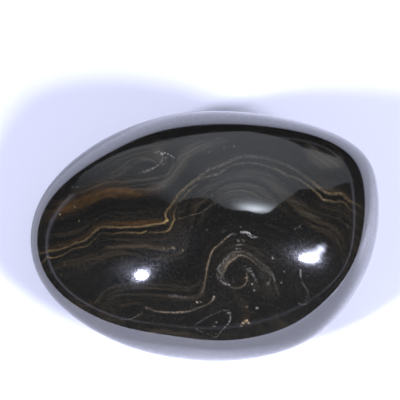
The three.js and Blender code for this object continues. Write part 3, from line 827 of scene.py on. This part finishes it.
def polished_stromatolite(settings):
    """Banded limestone and chert, dark with iron oxide and old carbon, ground and polished to a
    gloss. To the eye it is near black with thin brown laminae, an ochre bed and calcite veins,
    under a mirror-like reflection with a haze of tiny sparkles round each light."""
    material = empty_material("polished stromatolite, laminated")
    tree = material.node_tree
    place = add_node(tree, "ShaderNodeTexCoord", out="Object")
    place = add_node(tree, VECTORS, {0: place, "Scale": 1 / MM}, operation="SCALE")

    # Soft noises through the rock, by the width of their lumps in millimetres.
    lumps = {}
    for name, width, detail in (
        ("ruffle", 3.6, 2), ("fine ruffle", 0.7, 2), ("cloud", 1.6, 3), ("rag", 0.45, 3),
        ("bead", 0.8, 2), ("crumb", 0.5, 2), ("grain", 0.42, 3), ("speck", 0.34, 2), ("polish", 0.5, 2),
    ):
        inputs = {"Vector": place, "Scale": 1 / width, "Detail": detail, "Roughness": 0.6}
        lumps[name] = add_node(tree, NOISE, inputs)

    # Height across the layers, in millimetres, ruffled so that no lamina is a ruled line.
    height = add_node(tree, STORED, out="Fac", attribute_name="layer_height")
    for name, amount in (("ruffle", 1.1), ("fine ruffle", 0.30)):
        height = add_node(tree, MATHS, {0: lumps[name], 1: amount, 2: height}, operation="MULTIPLY_ADD")

    # Laminae: noises that change fast across the layers and slowly along them.
    laminae = {}
    for name, width, length in (("thick", 3.0, 30), ("middle", 1.4, 14), ("thin", 0.7, 9)):
        across = 1 / (width * settings.lamina_width)
        across = add_node(tree, MATHS, {0: height, 1: across}, operation="MULTIPLY")
        across = add_node(tree, "ShaderNodeCombineXYZ", {0: across})
        along = add_node(tree, VECTORS, {0: place, "Scale": 1 / length}, operation="SCALE")
        both = add_node(tree, VECTORS, {0: across, 1: along}, operation="ADD")
        inputs = {"Vector": both, "Scale": 1.0, "Detail": 2, "Roughness": 0.6}
        laminae[name] = add_node(tree, NOISE, inputs)

    stripes = {kind: add_node(tree, STORED, out="Fac", attribute_name=kind) for kind in STRIPES}

    # What the noises and the darkest beds do: the two ends that each reads and the two it gives.
    effects = {}
    for name, source, low, high, least, most in (
        ("thick laminae", laminae["thick"], 0.38, 0.62, 0.2, 1.0),
        ("middle laminae", laminae["middle"], 0.45, 0.65, 0.0, 0.5),
        ("thin laminae", laminae["thin"], 0.48, 0.66, 0.0, 0.5),
        ("streaks", laminae["middle"], 0.38, 0.62, 0.4, 1.4),
        ("thin streaks", laminae["thin"], 0.38, 0.62, 0.35, 1.55),
        ("soft streaks", laminae["thin"], 0.38, 0.62, 0.7, 1.2),
        ("clouds", lumps["cloud"], 0.35, 0.65, 0.7, 1.2),
        ("mottle", lumps["grain"], 0.36, 0.64, 0.75, 1.25),
        ("silt", lumps["speck"], 0.50, 0.72, 0.0, 0.42),
        ("beads", lumps["bead"], 0.35, 0.62, 0.6, 1.2),
        ("grains", lumps["crumb"], 0.40, 0.60, 0.1, 1.5),
        ("sparkle", lumps["polish"], 0.42, 0.70, 0.004, 0.09),
    ):
        inputs = {0: source, 1: low, 2: high, 3: least, 4: most}
        effects[name] = add_node(tree, RANGE, inputs, **SMOOTH)
    for name, least in (("laminae left", 0.15), ("silt left", 0.5)):
        effects[name] = add_node(tree, RANGE, {0: stripes["dark"], 1: 0.0, 2: 1.0, 3: 1.0, 4: least})

    # Brown laminae show in the near black rock, but little in its darkest beds.
    both = {0: effects["middle laminae"], 1: effects["thin laminae"]}
    both = add_node(tree, MATHS, both, operation="ADD")
    for name in ("thick laminae", "laminae left"):
        both = add_node(tree, MATHS, {0: both, 1: effects[name]}, operation="MULTIPLY")
    layers = [(both, settings.bed_brown)]

    # Stripes are streaky along the layers, mottled by their grains and, where stained, cloudy.
    for kind, colour, names in (
        ("grey", settings.bed_grey, ("soft streaks", "mottle")),
        ("brown", settings.bed_brown, ("streaks", "thin streaks", "mottle")),
        ("ochre", settings.bed_ochre, ("soft streaks", "clouds", "mottle")),
    ):
        mask = stripes[kind]
        for name in names:
            mask = add_node(tree, MATHS, {0: mask, 1: effects[name]}, operation="MULTIPLY")
        layers.append((mask, colour))

    # The darkest beds cut through the others.
    cut = 0.8
    mask = add_node(tree, MATHS, {0: stripes["dark"], 1: cut}, operation="MULTIPLY")
    layers.append((mask, settings.bed_black))

    # Silt grains, pale and a quarter of a millimetre across, fewer in the darkest beds.
    silt = add_node(tree, MATHS, {0: effects["silt"], 1: effects["silt left"]}, operation="MULTIPLY")
    layers.append((silt, settings.bed_grey))

    # Veins: a band where the distance is under the half width, ragged at its sides. Stained veins
    # are unbroken and clean ones fall apart into grains.
    stain = (tuple(settings.vein_cream), tuple(settings.vein_gold))
    mineral = add_node(tree, MIX, {0: stripes["warm"], 6: stain[0], 7: stain[1]}, 2, data_type="RGBA")
    beads = add_node(tree, MIX, {0: stripes["warm"], 2: effects["grains"], 3: effects["beads"]})
    ragged = 0.24
    side_inside = 0.14
    side_outside = -0.10
    for group in VEIN_GROUPS:
        stored = add_node(tree, STORED, out="Vector", attribute_name=group)
        away = add_node(tree, "ShaderNodeSeparateXYZ", {0: stored})
        _, half_width, bright = away.node.outputs
        away = add_node(tree, MATHS, {0: lumps["rag"], 1: ragged, 2: away}, operation="MULTIPLY_ADD")
        away = add_node(tree, MATHS, {0: away, 1: ragged / 2}, operation="SUBTRACT")
        away = add_node(tree, MATHS, {0: away}, operation="ABSOLUTE")
        inside = add_node(tree, MATHS, {0: half_width, 1: away}, operation="SUBTRACT")
        mask = add_node(tree, RANGE, {0: inside, 1: side_outside, 2: side_inside}, **SMOOTH)
        for factor in (bright, beads):
            mask = add_node(tree, MATHS, {0: mask, 1: factor}, operation="MULTIPLY")
        layers.append((mask, mineral))

    flecks = add_node(tree, STORED, out="Fac", attribute_name="flecks")
    flecks = add_node(tree, MATHS, {0: flecks, 1: effects["grains"]}, operation="MULTIPLY")
    layers.append((flecks, mineral))

    colour = tuple(settings.bed_black)
    for mask, top in layers:
        top = top if isinstance(top, bpy.types.NodeSocket) else tuple(top)
        colour = add_node(tree, MIX, {0: mask, 6: colour, 7: top}, 2, data_type="RGBA")

    # Some grains took the polish less well, so a haze of tiny sparkles rings each light.
    inputs = {
        "Base Color": colour,
        "Roughness": 0.2,
        "IOR": 1.6,
        "Specular IOR Level": effects["sparkle"],
        "Coat Weight": 1.0,
        "Coat Roughness": 0.055,
        "Coat IOR": 2.3,
    }
    shader = add_node(tree, "ShaderNodeBsdfPrincipled", inputs)
    add_node(tree, "ShaderNodeOutputMaterial", {"Surface": shader})
    return material


def matt_card(settings):
    """Plain matt card: to the eye an even pale surface with no shine."""
    material = empty_material("matt card, uncoated")
    tree = material.node_tree
    inputs = {"Base Color": tuple(settings.sheet_colour), "Roughness": 0.9, "Specular IOR Level": 0.0}
    shader = add_node(tree, "ShaderNodeBsdfPrincipled", inputs)
    add_node(tree, "ShaderNodeOutputMaterial", {"Surface": shader})
    return material


def add_glow(tree, place, patch, onto):
    """Adds a soft patch of light to a brightness: its middle, how far it spreads each way, how much
    it gathers at its middle, and its radiance."""
    middle, spread, gather, radiance = patch
    away = add_node(tree, VECTORS, {0: place, 1: middle}, operation="SUBTRACT")
    away = add_node(tree, VECTORS, {0: away, 1: spread}, operation="DIVIDE")
    away = add_node(tree, VECTORS, {0: away}, out="Value", operation="LENGTH")
    glow = add_node(tree, RANGE, {0: away, 1: 0.0, 2: 1.0, 3: 1.0, 4: 0.0}, **SMOOTH)
    glow = add_node(tree, MATHS, {0: glow, 1: gather}, operation="POWER")
    return add_node(tree, MATHS, {0: glow, 1: radiance, 2: onto}, operation="MULTIPLY_ADD")


def clear_glare(name, patches, colour, clearness):
    """A clear layer with soft patches of light: to the eye an added glow, with what lies behind it
    still seen. It is seen only in the polish."""
    material = empty_material(name)
    tree = material.node_tree
    place = add_node(tree, "ShaderNodeTexCoord", out="Object")
    glow = 0.0
    for patch in patches:
        glow = add_glow(tree, place, patch, glow)
    glow = add_node(tree, "ShaderNodeEmission", {"Color": tuple(colour), "Strength": glow})
    clear = add_node(tree, "ShaderNodeBsdfTransparent", {"Color": (clearness, clearness, clearness, 1)})
    both = add_node(tree, "ShaderNodeAddShader", {0: glow, 1: clear})
    add_node(tree, "ShaderNodeOutputMaterial", {"Surface": both})
    return material


def lit_cloth(settings):
    """White cloth lit from behind: to the eye a soft glow, brightest at the middle and where the
    lamp behind it stands, and dim at one corner. It is seen only in the polish."""
    material = empty_material("lit cloth, white")
    tree = material.node_tree
    place = add_node(tree, "ShaderNodeTexCoord", out="Object")
    sideways = add_node(tree, "ShaderNodeSeparateXYZ", {0: place})
    sideways = add_node(tree, MATHS, {0: sideways}, operation="ABSOLUTE")
    inputs = {0: sideways, 1: 0.0, 2: CLOTH_SIDE, 3: 1.0, 4: CLOTH_SIDE_SHARE}
    middle = add_node(tree, RANGE, inputs, **SMOOTH)
    corner = add_node(tree, VECTORS, {0: place, 1: CLOTH_CORNER}, out="Value", operation="DOT_PRODUCT")
    corner = add_node(tree, RANGE, {0: corner, 1: CLOTH_CORNER_DARK, 2: CLOTH_CORNER_LIT}, **SMOOTH)
    glow = add_node(tree, MATHS, {0: middle, 1: corner}, operation="MULTIPLY")
    glow = add_node(tree, MATHS, {0: glow, 1: CLOTH_GLOW}, operation="MULTIPLY")
    glow = add_glow(tree, place, CLOTH_LAMP, glow)
    inputs = {"Color": tuple(settings.cloth_colour), "Strength": glow}
    shader = add_node(tree, "ShaderNodeEmission", inputs)
    add_node(tree, "ShaderNodeOutputMaterial", {"Surface": shader})
    return material


# ---------------------------------------------------------------------------------------------
# The operators.


class OBJECT_OT_stromatolite_stone(bpy.types.Operator):
    """Make the polished stone in place of its plain solid"""

    bl_idname = "object.stromatolite_stone"
    bl_label = "Stromatolite stone"

    def execute(self, context):
        settings = context.scene.stone_settings
        ball, triangles = geodesic_ball(settings.mesh_rows)
        # Seen from below the middle, the ball's corners crowd together on the side that shows.
        eye_drop = 0.45
        points = (ball + (0, 0, eye_drop)) * (HALF_LENGTH, HALF_WIDTH, HEIGHT_ABOVE)
        passes = 3
        for _ in range(passes):
            points = points / reach(points)[:, None]
        grid = on_grid(points)
        values = {"layer_height": layer_heights(grid) * GRID_SQUARE, "flecks": fleck_strength(grid)}
        for group, veins in VEIN_GROUPS.items():
            values[group] = vein_attribute(grid, veins)
        for kind, stripes in STRIPES.items():
            values[kind] = stripe_strength(grid, stripes)
        points[:, 2] = np.maximum(points[:, 2], -REST_DEPTH)

        low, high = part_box(STONE_NODE)
        middle = (points.min(axis=0) + points.max(axis=0)) / 2
        heart = (np.array(low) + np.array(high)) / 2 - middle * MM
        heart[2] = low.z + REST_DEPTH * MM
        piece = new_piece("polished_stone", points * MM + heart, triangles, polished_stromatolite(settings))
        piece["heart"] = heart.tolist()
        for name, stored_values in values.items():
            keep_values(piece.data, name, stored_values)
        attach(piece, "root")
        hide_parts(STONE_NODE)
        return {"FINISHED"}


# Lamps: azimuth and elevation, width, height and roll, all in degrees as the stone sees them, and
# the brightness that each gives the sheet, where one is a sheet that looks white. The first ones
# light and shade the stone and the sheet, and the others are only mirrored in the polish.
LAMPS = {
    "left lamp": (-147, 33, 8, 8, 0, 0.44),
    "right lamp": (-37, 31, 13, 8, 0, 0.50),
}
MIRRORED_LAMPS = {
    "left gleam": (-171.8, 45.1, 6.3, 4.3, 28, 0.5),
    "right gleam": (-41.8, 51.5, 12.4, 5.8, -14, 1.6),
}
LAMP_DISTANCE = 2.0

# A gauze behind each gleam's lamp glows softly round it. Each has its azimuth and elevation, and
# its patches of light: their azimuth, elevation and spread in degrees, how much each gathers at
# its middle, and its radiance.
GAUZE_DISTANCE = 2.2
GAUZE_HALF_SIZE = 1.3
GAUZES = {
    "left gauze": (180, 40, [
        (179, 37.5, 8, 1.5, 0.28),
        (-177, 40.5, 5, 1.5, 0.42),
        (177, 43.0, 9, 1.5, 0.08),
    ]),
    "right gauze": (-36, 51.5, [
        (-48, 51.0, 9, 2.0, 2.2),
        (-41, 51.5, 11, 2.0, 4.0),
        (-33, 52.0, 10, 2.0, 4.0),
        (-26, 51.2, 6, 1.5, 7.0),
        (-18, 50.4, 6, 1.5, 11.0),
        (-10, 48.6, 6, 2.0, 4.5),
        (-37, 51.5, 24, 2.5, 0.6),
    ]),
}

# The lit cloth hangs behind the stone, a metre off. Its outline, in metres from the stone: x to
# the right and then height.
CLOTH_DISTANCE = 1.0
CLOTH_OUTLINE = [
    (-1.50, 0.46), (-1.05, 0.15), (-0.84, 0.19), (-0.63, 0.33), (-0.40, 0.34), (-0.09, 0.22), (0.04, 0.19),
    (0.15, 0.29), (0.37, 0.50), (0.57, 0.51), (1.11, 0.41), (1.65, 0.47), (1.53, 0.75), (1.38, 1.16),
    (1.17, 1.32), (0.80, 1.50), (0.74, 2.50), (0.76, 4.10), (0.62, 4.95), (0.30, 4.80), (-0.05, 4.25),
    (-0.69, 4.37), (-1.05, 3.82), (-1.17, 2.60), (-1.62, 2.44), (-2.38, 2.46), (-2.03, 1.67), (-1.86, 1.30),
    (-1.73, 0.95),
]
# Its radiance at the middle, how far off to the side it has dimmed and to what share, and its dim
# corner: the way from it to the light, and how far along that way it is dark and fully lit.
CLOTH_GLOW = 0.35
CLOTH_SIDE = 1.1
CLOTH_SIDE_SHARE = 0.65
CLOTH_CORNER = (1, 0, 0.5)
CLOTH_CORNER_DARK = -1.35
CLOTH_CORNER_LIT = -0.82

# Soft patches of light that the polish mirrors, on the cloth and just above the sheet: the middle
# and the spread each way in metres from the stone, how much each gathers at its middle, and its
# radiance. The layer above the sheet covers a share of it and lets most of its light through.
CLOTH_LAMP = ((0.20, 1.0, 3.7), (1.45, 1.0, 2.2), 3.0, 4.4)
SHEET_GLARE = [
    ((0.000, -0.038, 0), (0.034, 0.044, 1), 1.0, 1.3),
    ((0.150, 0.008, 0), (0.200, 0.052, 1), 1.0, 1.5),
]
GLARE_SHARE = 0.1
GLARE_HEIGHT = 0.0002
GLARE_CLEARNESS = 0.92

# The dark room in the polish, and the thin pale line where its floor ends: the sine of the line's
# elevation, half its width, its radiance ahead and at the sides, and the radiance of the room.
ROOM_EDGE_HEIGHT = 0.265
ROOM_EDGE_WIDTH = 0.04
ROOM_EDGE_GLOW = 0.17
ROOM_EDGE_SIDES = 0.42
ROOM_GLOW = 0.009

# The soft light from all round that falls on the sheet, and the brightness of the backdrop.
SOFT_LIGHT = 0.36
BACKDROP = 1.1


class OBJECT_OT_stone_stage(bpy.types.Operator):
    """Make the pale sheet, the lights and the camera"""

    bl_idname = "object.stone_stage"
    bl_label = "Stage, lights and camera"

    def execute(self, context):
        settings = context.scene.stage_settings
        heart = np.array(bpy.data.objects["polished_stone"]["heart"])
        half = settings.sheet_size / 2
        corners = [(-half, -half, 0), (half, -half, 0), (half, half, 0), (-half, half, 0)]
        new_piece("pale_sheet", corners, [(0, 1, 2, 3)], matt_card(settings))
        near = [(x * GLARE_SHARE, y * GLARE_SHARE, GLARE_HEIGHT) for x, y, _ in corners]
        glare = clear_glare("matt card, its glare", SHEET_GLARE, settings.light_colour, GLARE_CLEARNESS)
        self.show_in_polish(new_piece("sheet_glare", near, [(0, 1, 2, 3)], glare))
        for name, gauze in GAUZES.items():
            self.show_in_polish(self.lamp_gauze(settings, name, *gauze))
        outline = [(x, CLOTH_DISTANCE, z) for x, z in CLOTH_OUTLINE]
        cloth = new_piece("lit_cloth", outline, [range(len(outline))], lit_cloth(settings))
        self.show_in_polish(cloth)
        for name, lamp in LAMPS.items():
            self.add_lamp(context, name, *lamp).visible_glossy = False
        for name, lamp in MIRRORED_LAMPS.items():
            self.add_lamp(context, name, *lamp).visible_diffuse = False
        self.set_world(context)
        self.add_camera(context, heart)
        return {"FINISHED"}

    def lamp_gauze(self, settings, name, azimuth, elevation, glow):
        """A square of gauze that faces the stone and glows softly round a gleam's lamp."""
        back, level, rise = facing_frame(azimuth, elevation)
        corners = [
            back * GAUZE_DISTANCE + (level * x + rise * y) * GAUZE_HALF_SIZE
            for x, y in ((-1, -1), (1, -1), (1, 1), (-1, 1))
        ]
        patches = []
        for azimuth, elevation, spread, gather, radiance in glow:
            middle = tuple(direction(azimuth, elevation) * GAUZE_DISTANCE)
            spread = GAUZE_DISTANCE * math.tan(math.radians(spread))
            patches.append((middle, (spread, spread, spread), gather, radiance))
        lit = clear_glare(f"gauze, {name}", patches, settings.light_colour, 1.0)
        return new_piece(name, corners, [(0, 1, 2, 3)], lit)

    def show_in_polish(self, piece):
        """Makes a piece of the stage seen only in the stone's polish."""
        piece.visible_camera = False
        piece.visible_diffuse = False
        piece.visible_shadow = False

    def add_lamp(self, context, name, azimuth, elevation, width, height, roll, share):
        """An oval lamp that faces the stone. Its power follows from the light it gives the sheet."""
        settings = context.scene.stage_settings
        light = bpy.data.lights.new(name, "AREA")
        light.shape = "ELLIPSE"
        light.size = 2 * LAMP_DISTANCE * math.tan(math.radians(width / 2))
        light.size_y = 2 * LAMP_DISTANCE * math.tan(math.radians(height / 2))
        light.color = settings.light_colour[:3]
        sheet, tint = settings.sheet_colour[1], settings.light_colour[1]
        on_stone = share * math.pi / (sheet * tint * math.sin(math.radians(elevation)))
        light.energy = math.pi * on_stone * LAMP_DISTANCE**2
        lamp = bpy.data.objects.new(name, light)
        context.scene.collection.objects.link(lamp)
        back, level, rise = facing_frame(azimuth, elevation)
        right = level * math.cos(math.radians(roll)) + rise * math.sin(math.radians(roll))
        turn = Matrix([right, np.cross(back, right), back]).transposed()
        lamp.matrix_world = Matrix.Translation(back * LAMP_DISTANCE) @ turn.to_4x4()
        lamp.visible_camera = False
        return lamp

    def set_world(self, context):
        """Soft light from all round for the sheet, a pale backdrop, and a dark room in the polish."""
        world = bpy.data.worlds.new("soft studio")
        context.scene.world = world
        world.use_nodes = True
        tree = world.node_tree
        tree.nodes.clear()
        tint = tuple(context.scene.stage_settings.light_colour)
        path = add_node(tree, "ShaderNodeLightPath").node
        way = add_node(tree, "ShaderNodeTexCoord", out="Generated")
        rise = add_node(tree, VECTORS, {0: way, 1: (0, 0, 1)}, out="Value", operation="DOT_PRODUCT")
        off = add_node(tree, MATHS, {0: rise, 1: ROOM_EDGE_HEIGHT}, operation="SUBTRACT")
        off = add_node(tree, MATHS, {0: off}, operation="ABSOLUTE")
        sideways = add_node(tree, "ShaderNodeSeparateXYZ", {0: way})
        sideways = add_node(tree, MATHS, {0: sideways}, operation="ABSOLUTE")
        edge = add_node(tree, RANGE, {0: sideways, 1: 0.5, 2: 1.0, 3: ROOM_EDGE_GLOW, 4: ROOM_EDGE_SIDES})
        inputs = {0: off, 1: 0.0, 2: ROOM_EDGE_WIDTH, 3: edge, 4: ROOM_GLOW}
        room = add_node(tree, RANGE, inputs, **SMOOTH)
        glow = add_node(tree, "ShaderNodeBackground", {"Color": tint, "Strength": room})
        for ray, strength in (("Is Diffuse Ray", SOFT_LIGHT), ("Is Camera Ray", BACKDROP)):
            strength = strength / tint[1]
            other = add_node(tree, "ShaderNodeBackground", {"Color": tint, "Strength": strength})
            inputs = {0: path.outputs[ray], 1: glow, 2: other}
            glow = add_node(tree, "ShaderNodeMixShader", inputs)
        add_node(tree, "ShaderNodeOutputWorld", {"Surface": glow})

    def add_camera(self, context, heart):
        """Looks from the drawing point, so the markings are seen as they were laid out."""
        camera = bpy.data.cameras.new("camera")
        camera.sensor_width = 36.0
        picture_width = 2 * GRID_MIDDLE[0] * GRID_SQUARE
        camera.lens = camera.sensor_width * DRAWING_DISTANCE / picture_width
        camera.clip_start = 0.01
        camera.clip_end = 50
        item = bpy.data.objects.new("camera", camera)
        context.scene.collection.objects.link(item)
        turn = Matrix([DRAWING_RIGHT, DRAWING_UP, DRAWING_BACK]).transposed()
        item.matrix_world = Matrix.Translation(heart + DRAWING_POINT * MM) @ turn.to_4x4()
        context.scene.camera = item
        context.scene.view_settings.view_transform = "Standard"


class VIEW3D_PT_stone(bpy.types.Panel):
    """Lists the stone's settings and the operators that make it"""

    bl_label = "Stromatolite stone"
    bl_idname = "VIEW3D_PT_stone"
    bl_space_type = "VIEW_3D"
    bl_region_type = "UI"
    bl_category = "Stone"

    def draw(self, context):
        for name in ("stone_settings", "stage_settings"):
            group = getattr(context.scene, name)
            for key in group.bl_rna.properties.keys():
                if key not in ("rna_type", "name"):
                    self.layout.prop(group, key)
        self.layout.operator(OBJECT_OT_stromatolite_stone.bl_idname)
        self.layout.operator(OBJECT_OT_stone_stage.bl_idname)


CLASSES = (
    StoneSettings,
    StageSettings,
    OBJECT_OT_stromatolite_stone,
    OBJECT_OT_stone_stage,
    VIEW3D_PT_stone,
)


def register():
    for item in CLASSES:
        bpy.utils.register_class(item)
    bpy.types.Scene.stone_settings = PointerProperty(type=StoneSettings)
    bpy.types.Scene.stage_settings = PointerProperty(type=StageSettings)


def unregister():
    del bpy.types.Scene.stone_settings
    del bpy.types.Scene.stage_settings
    for item in reversed(CLASSES):
        bpy.utils.unregister_class(item)


def main():
    register()
    bpy.ops.object.stromatolite_stone()
    bpy.ops.object.stone_stage()


if __name__ == "__main__":
    main()
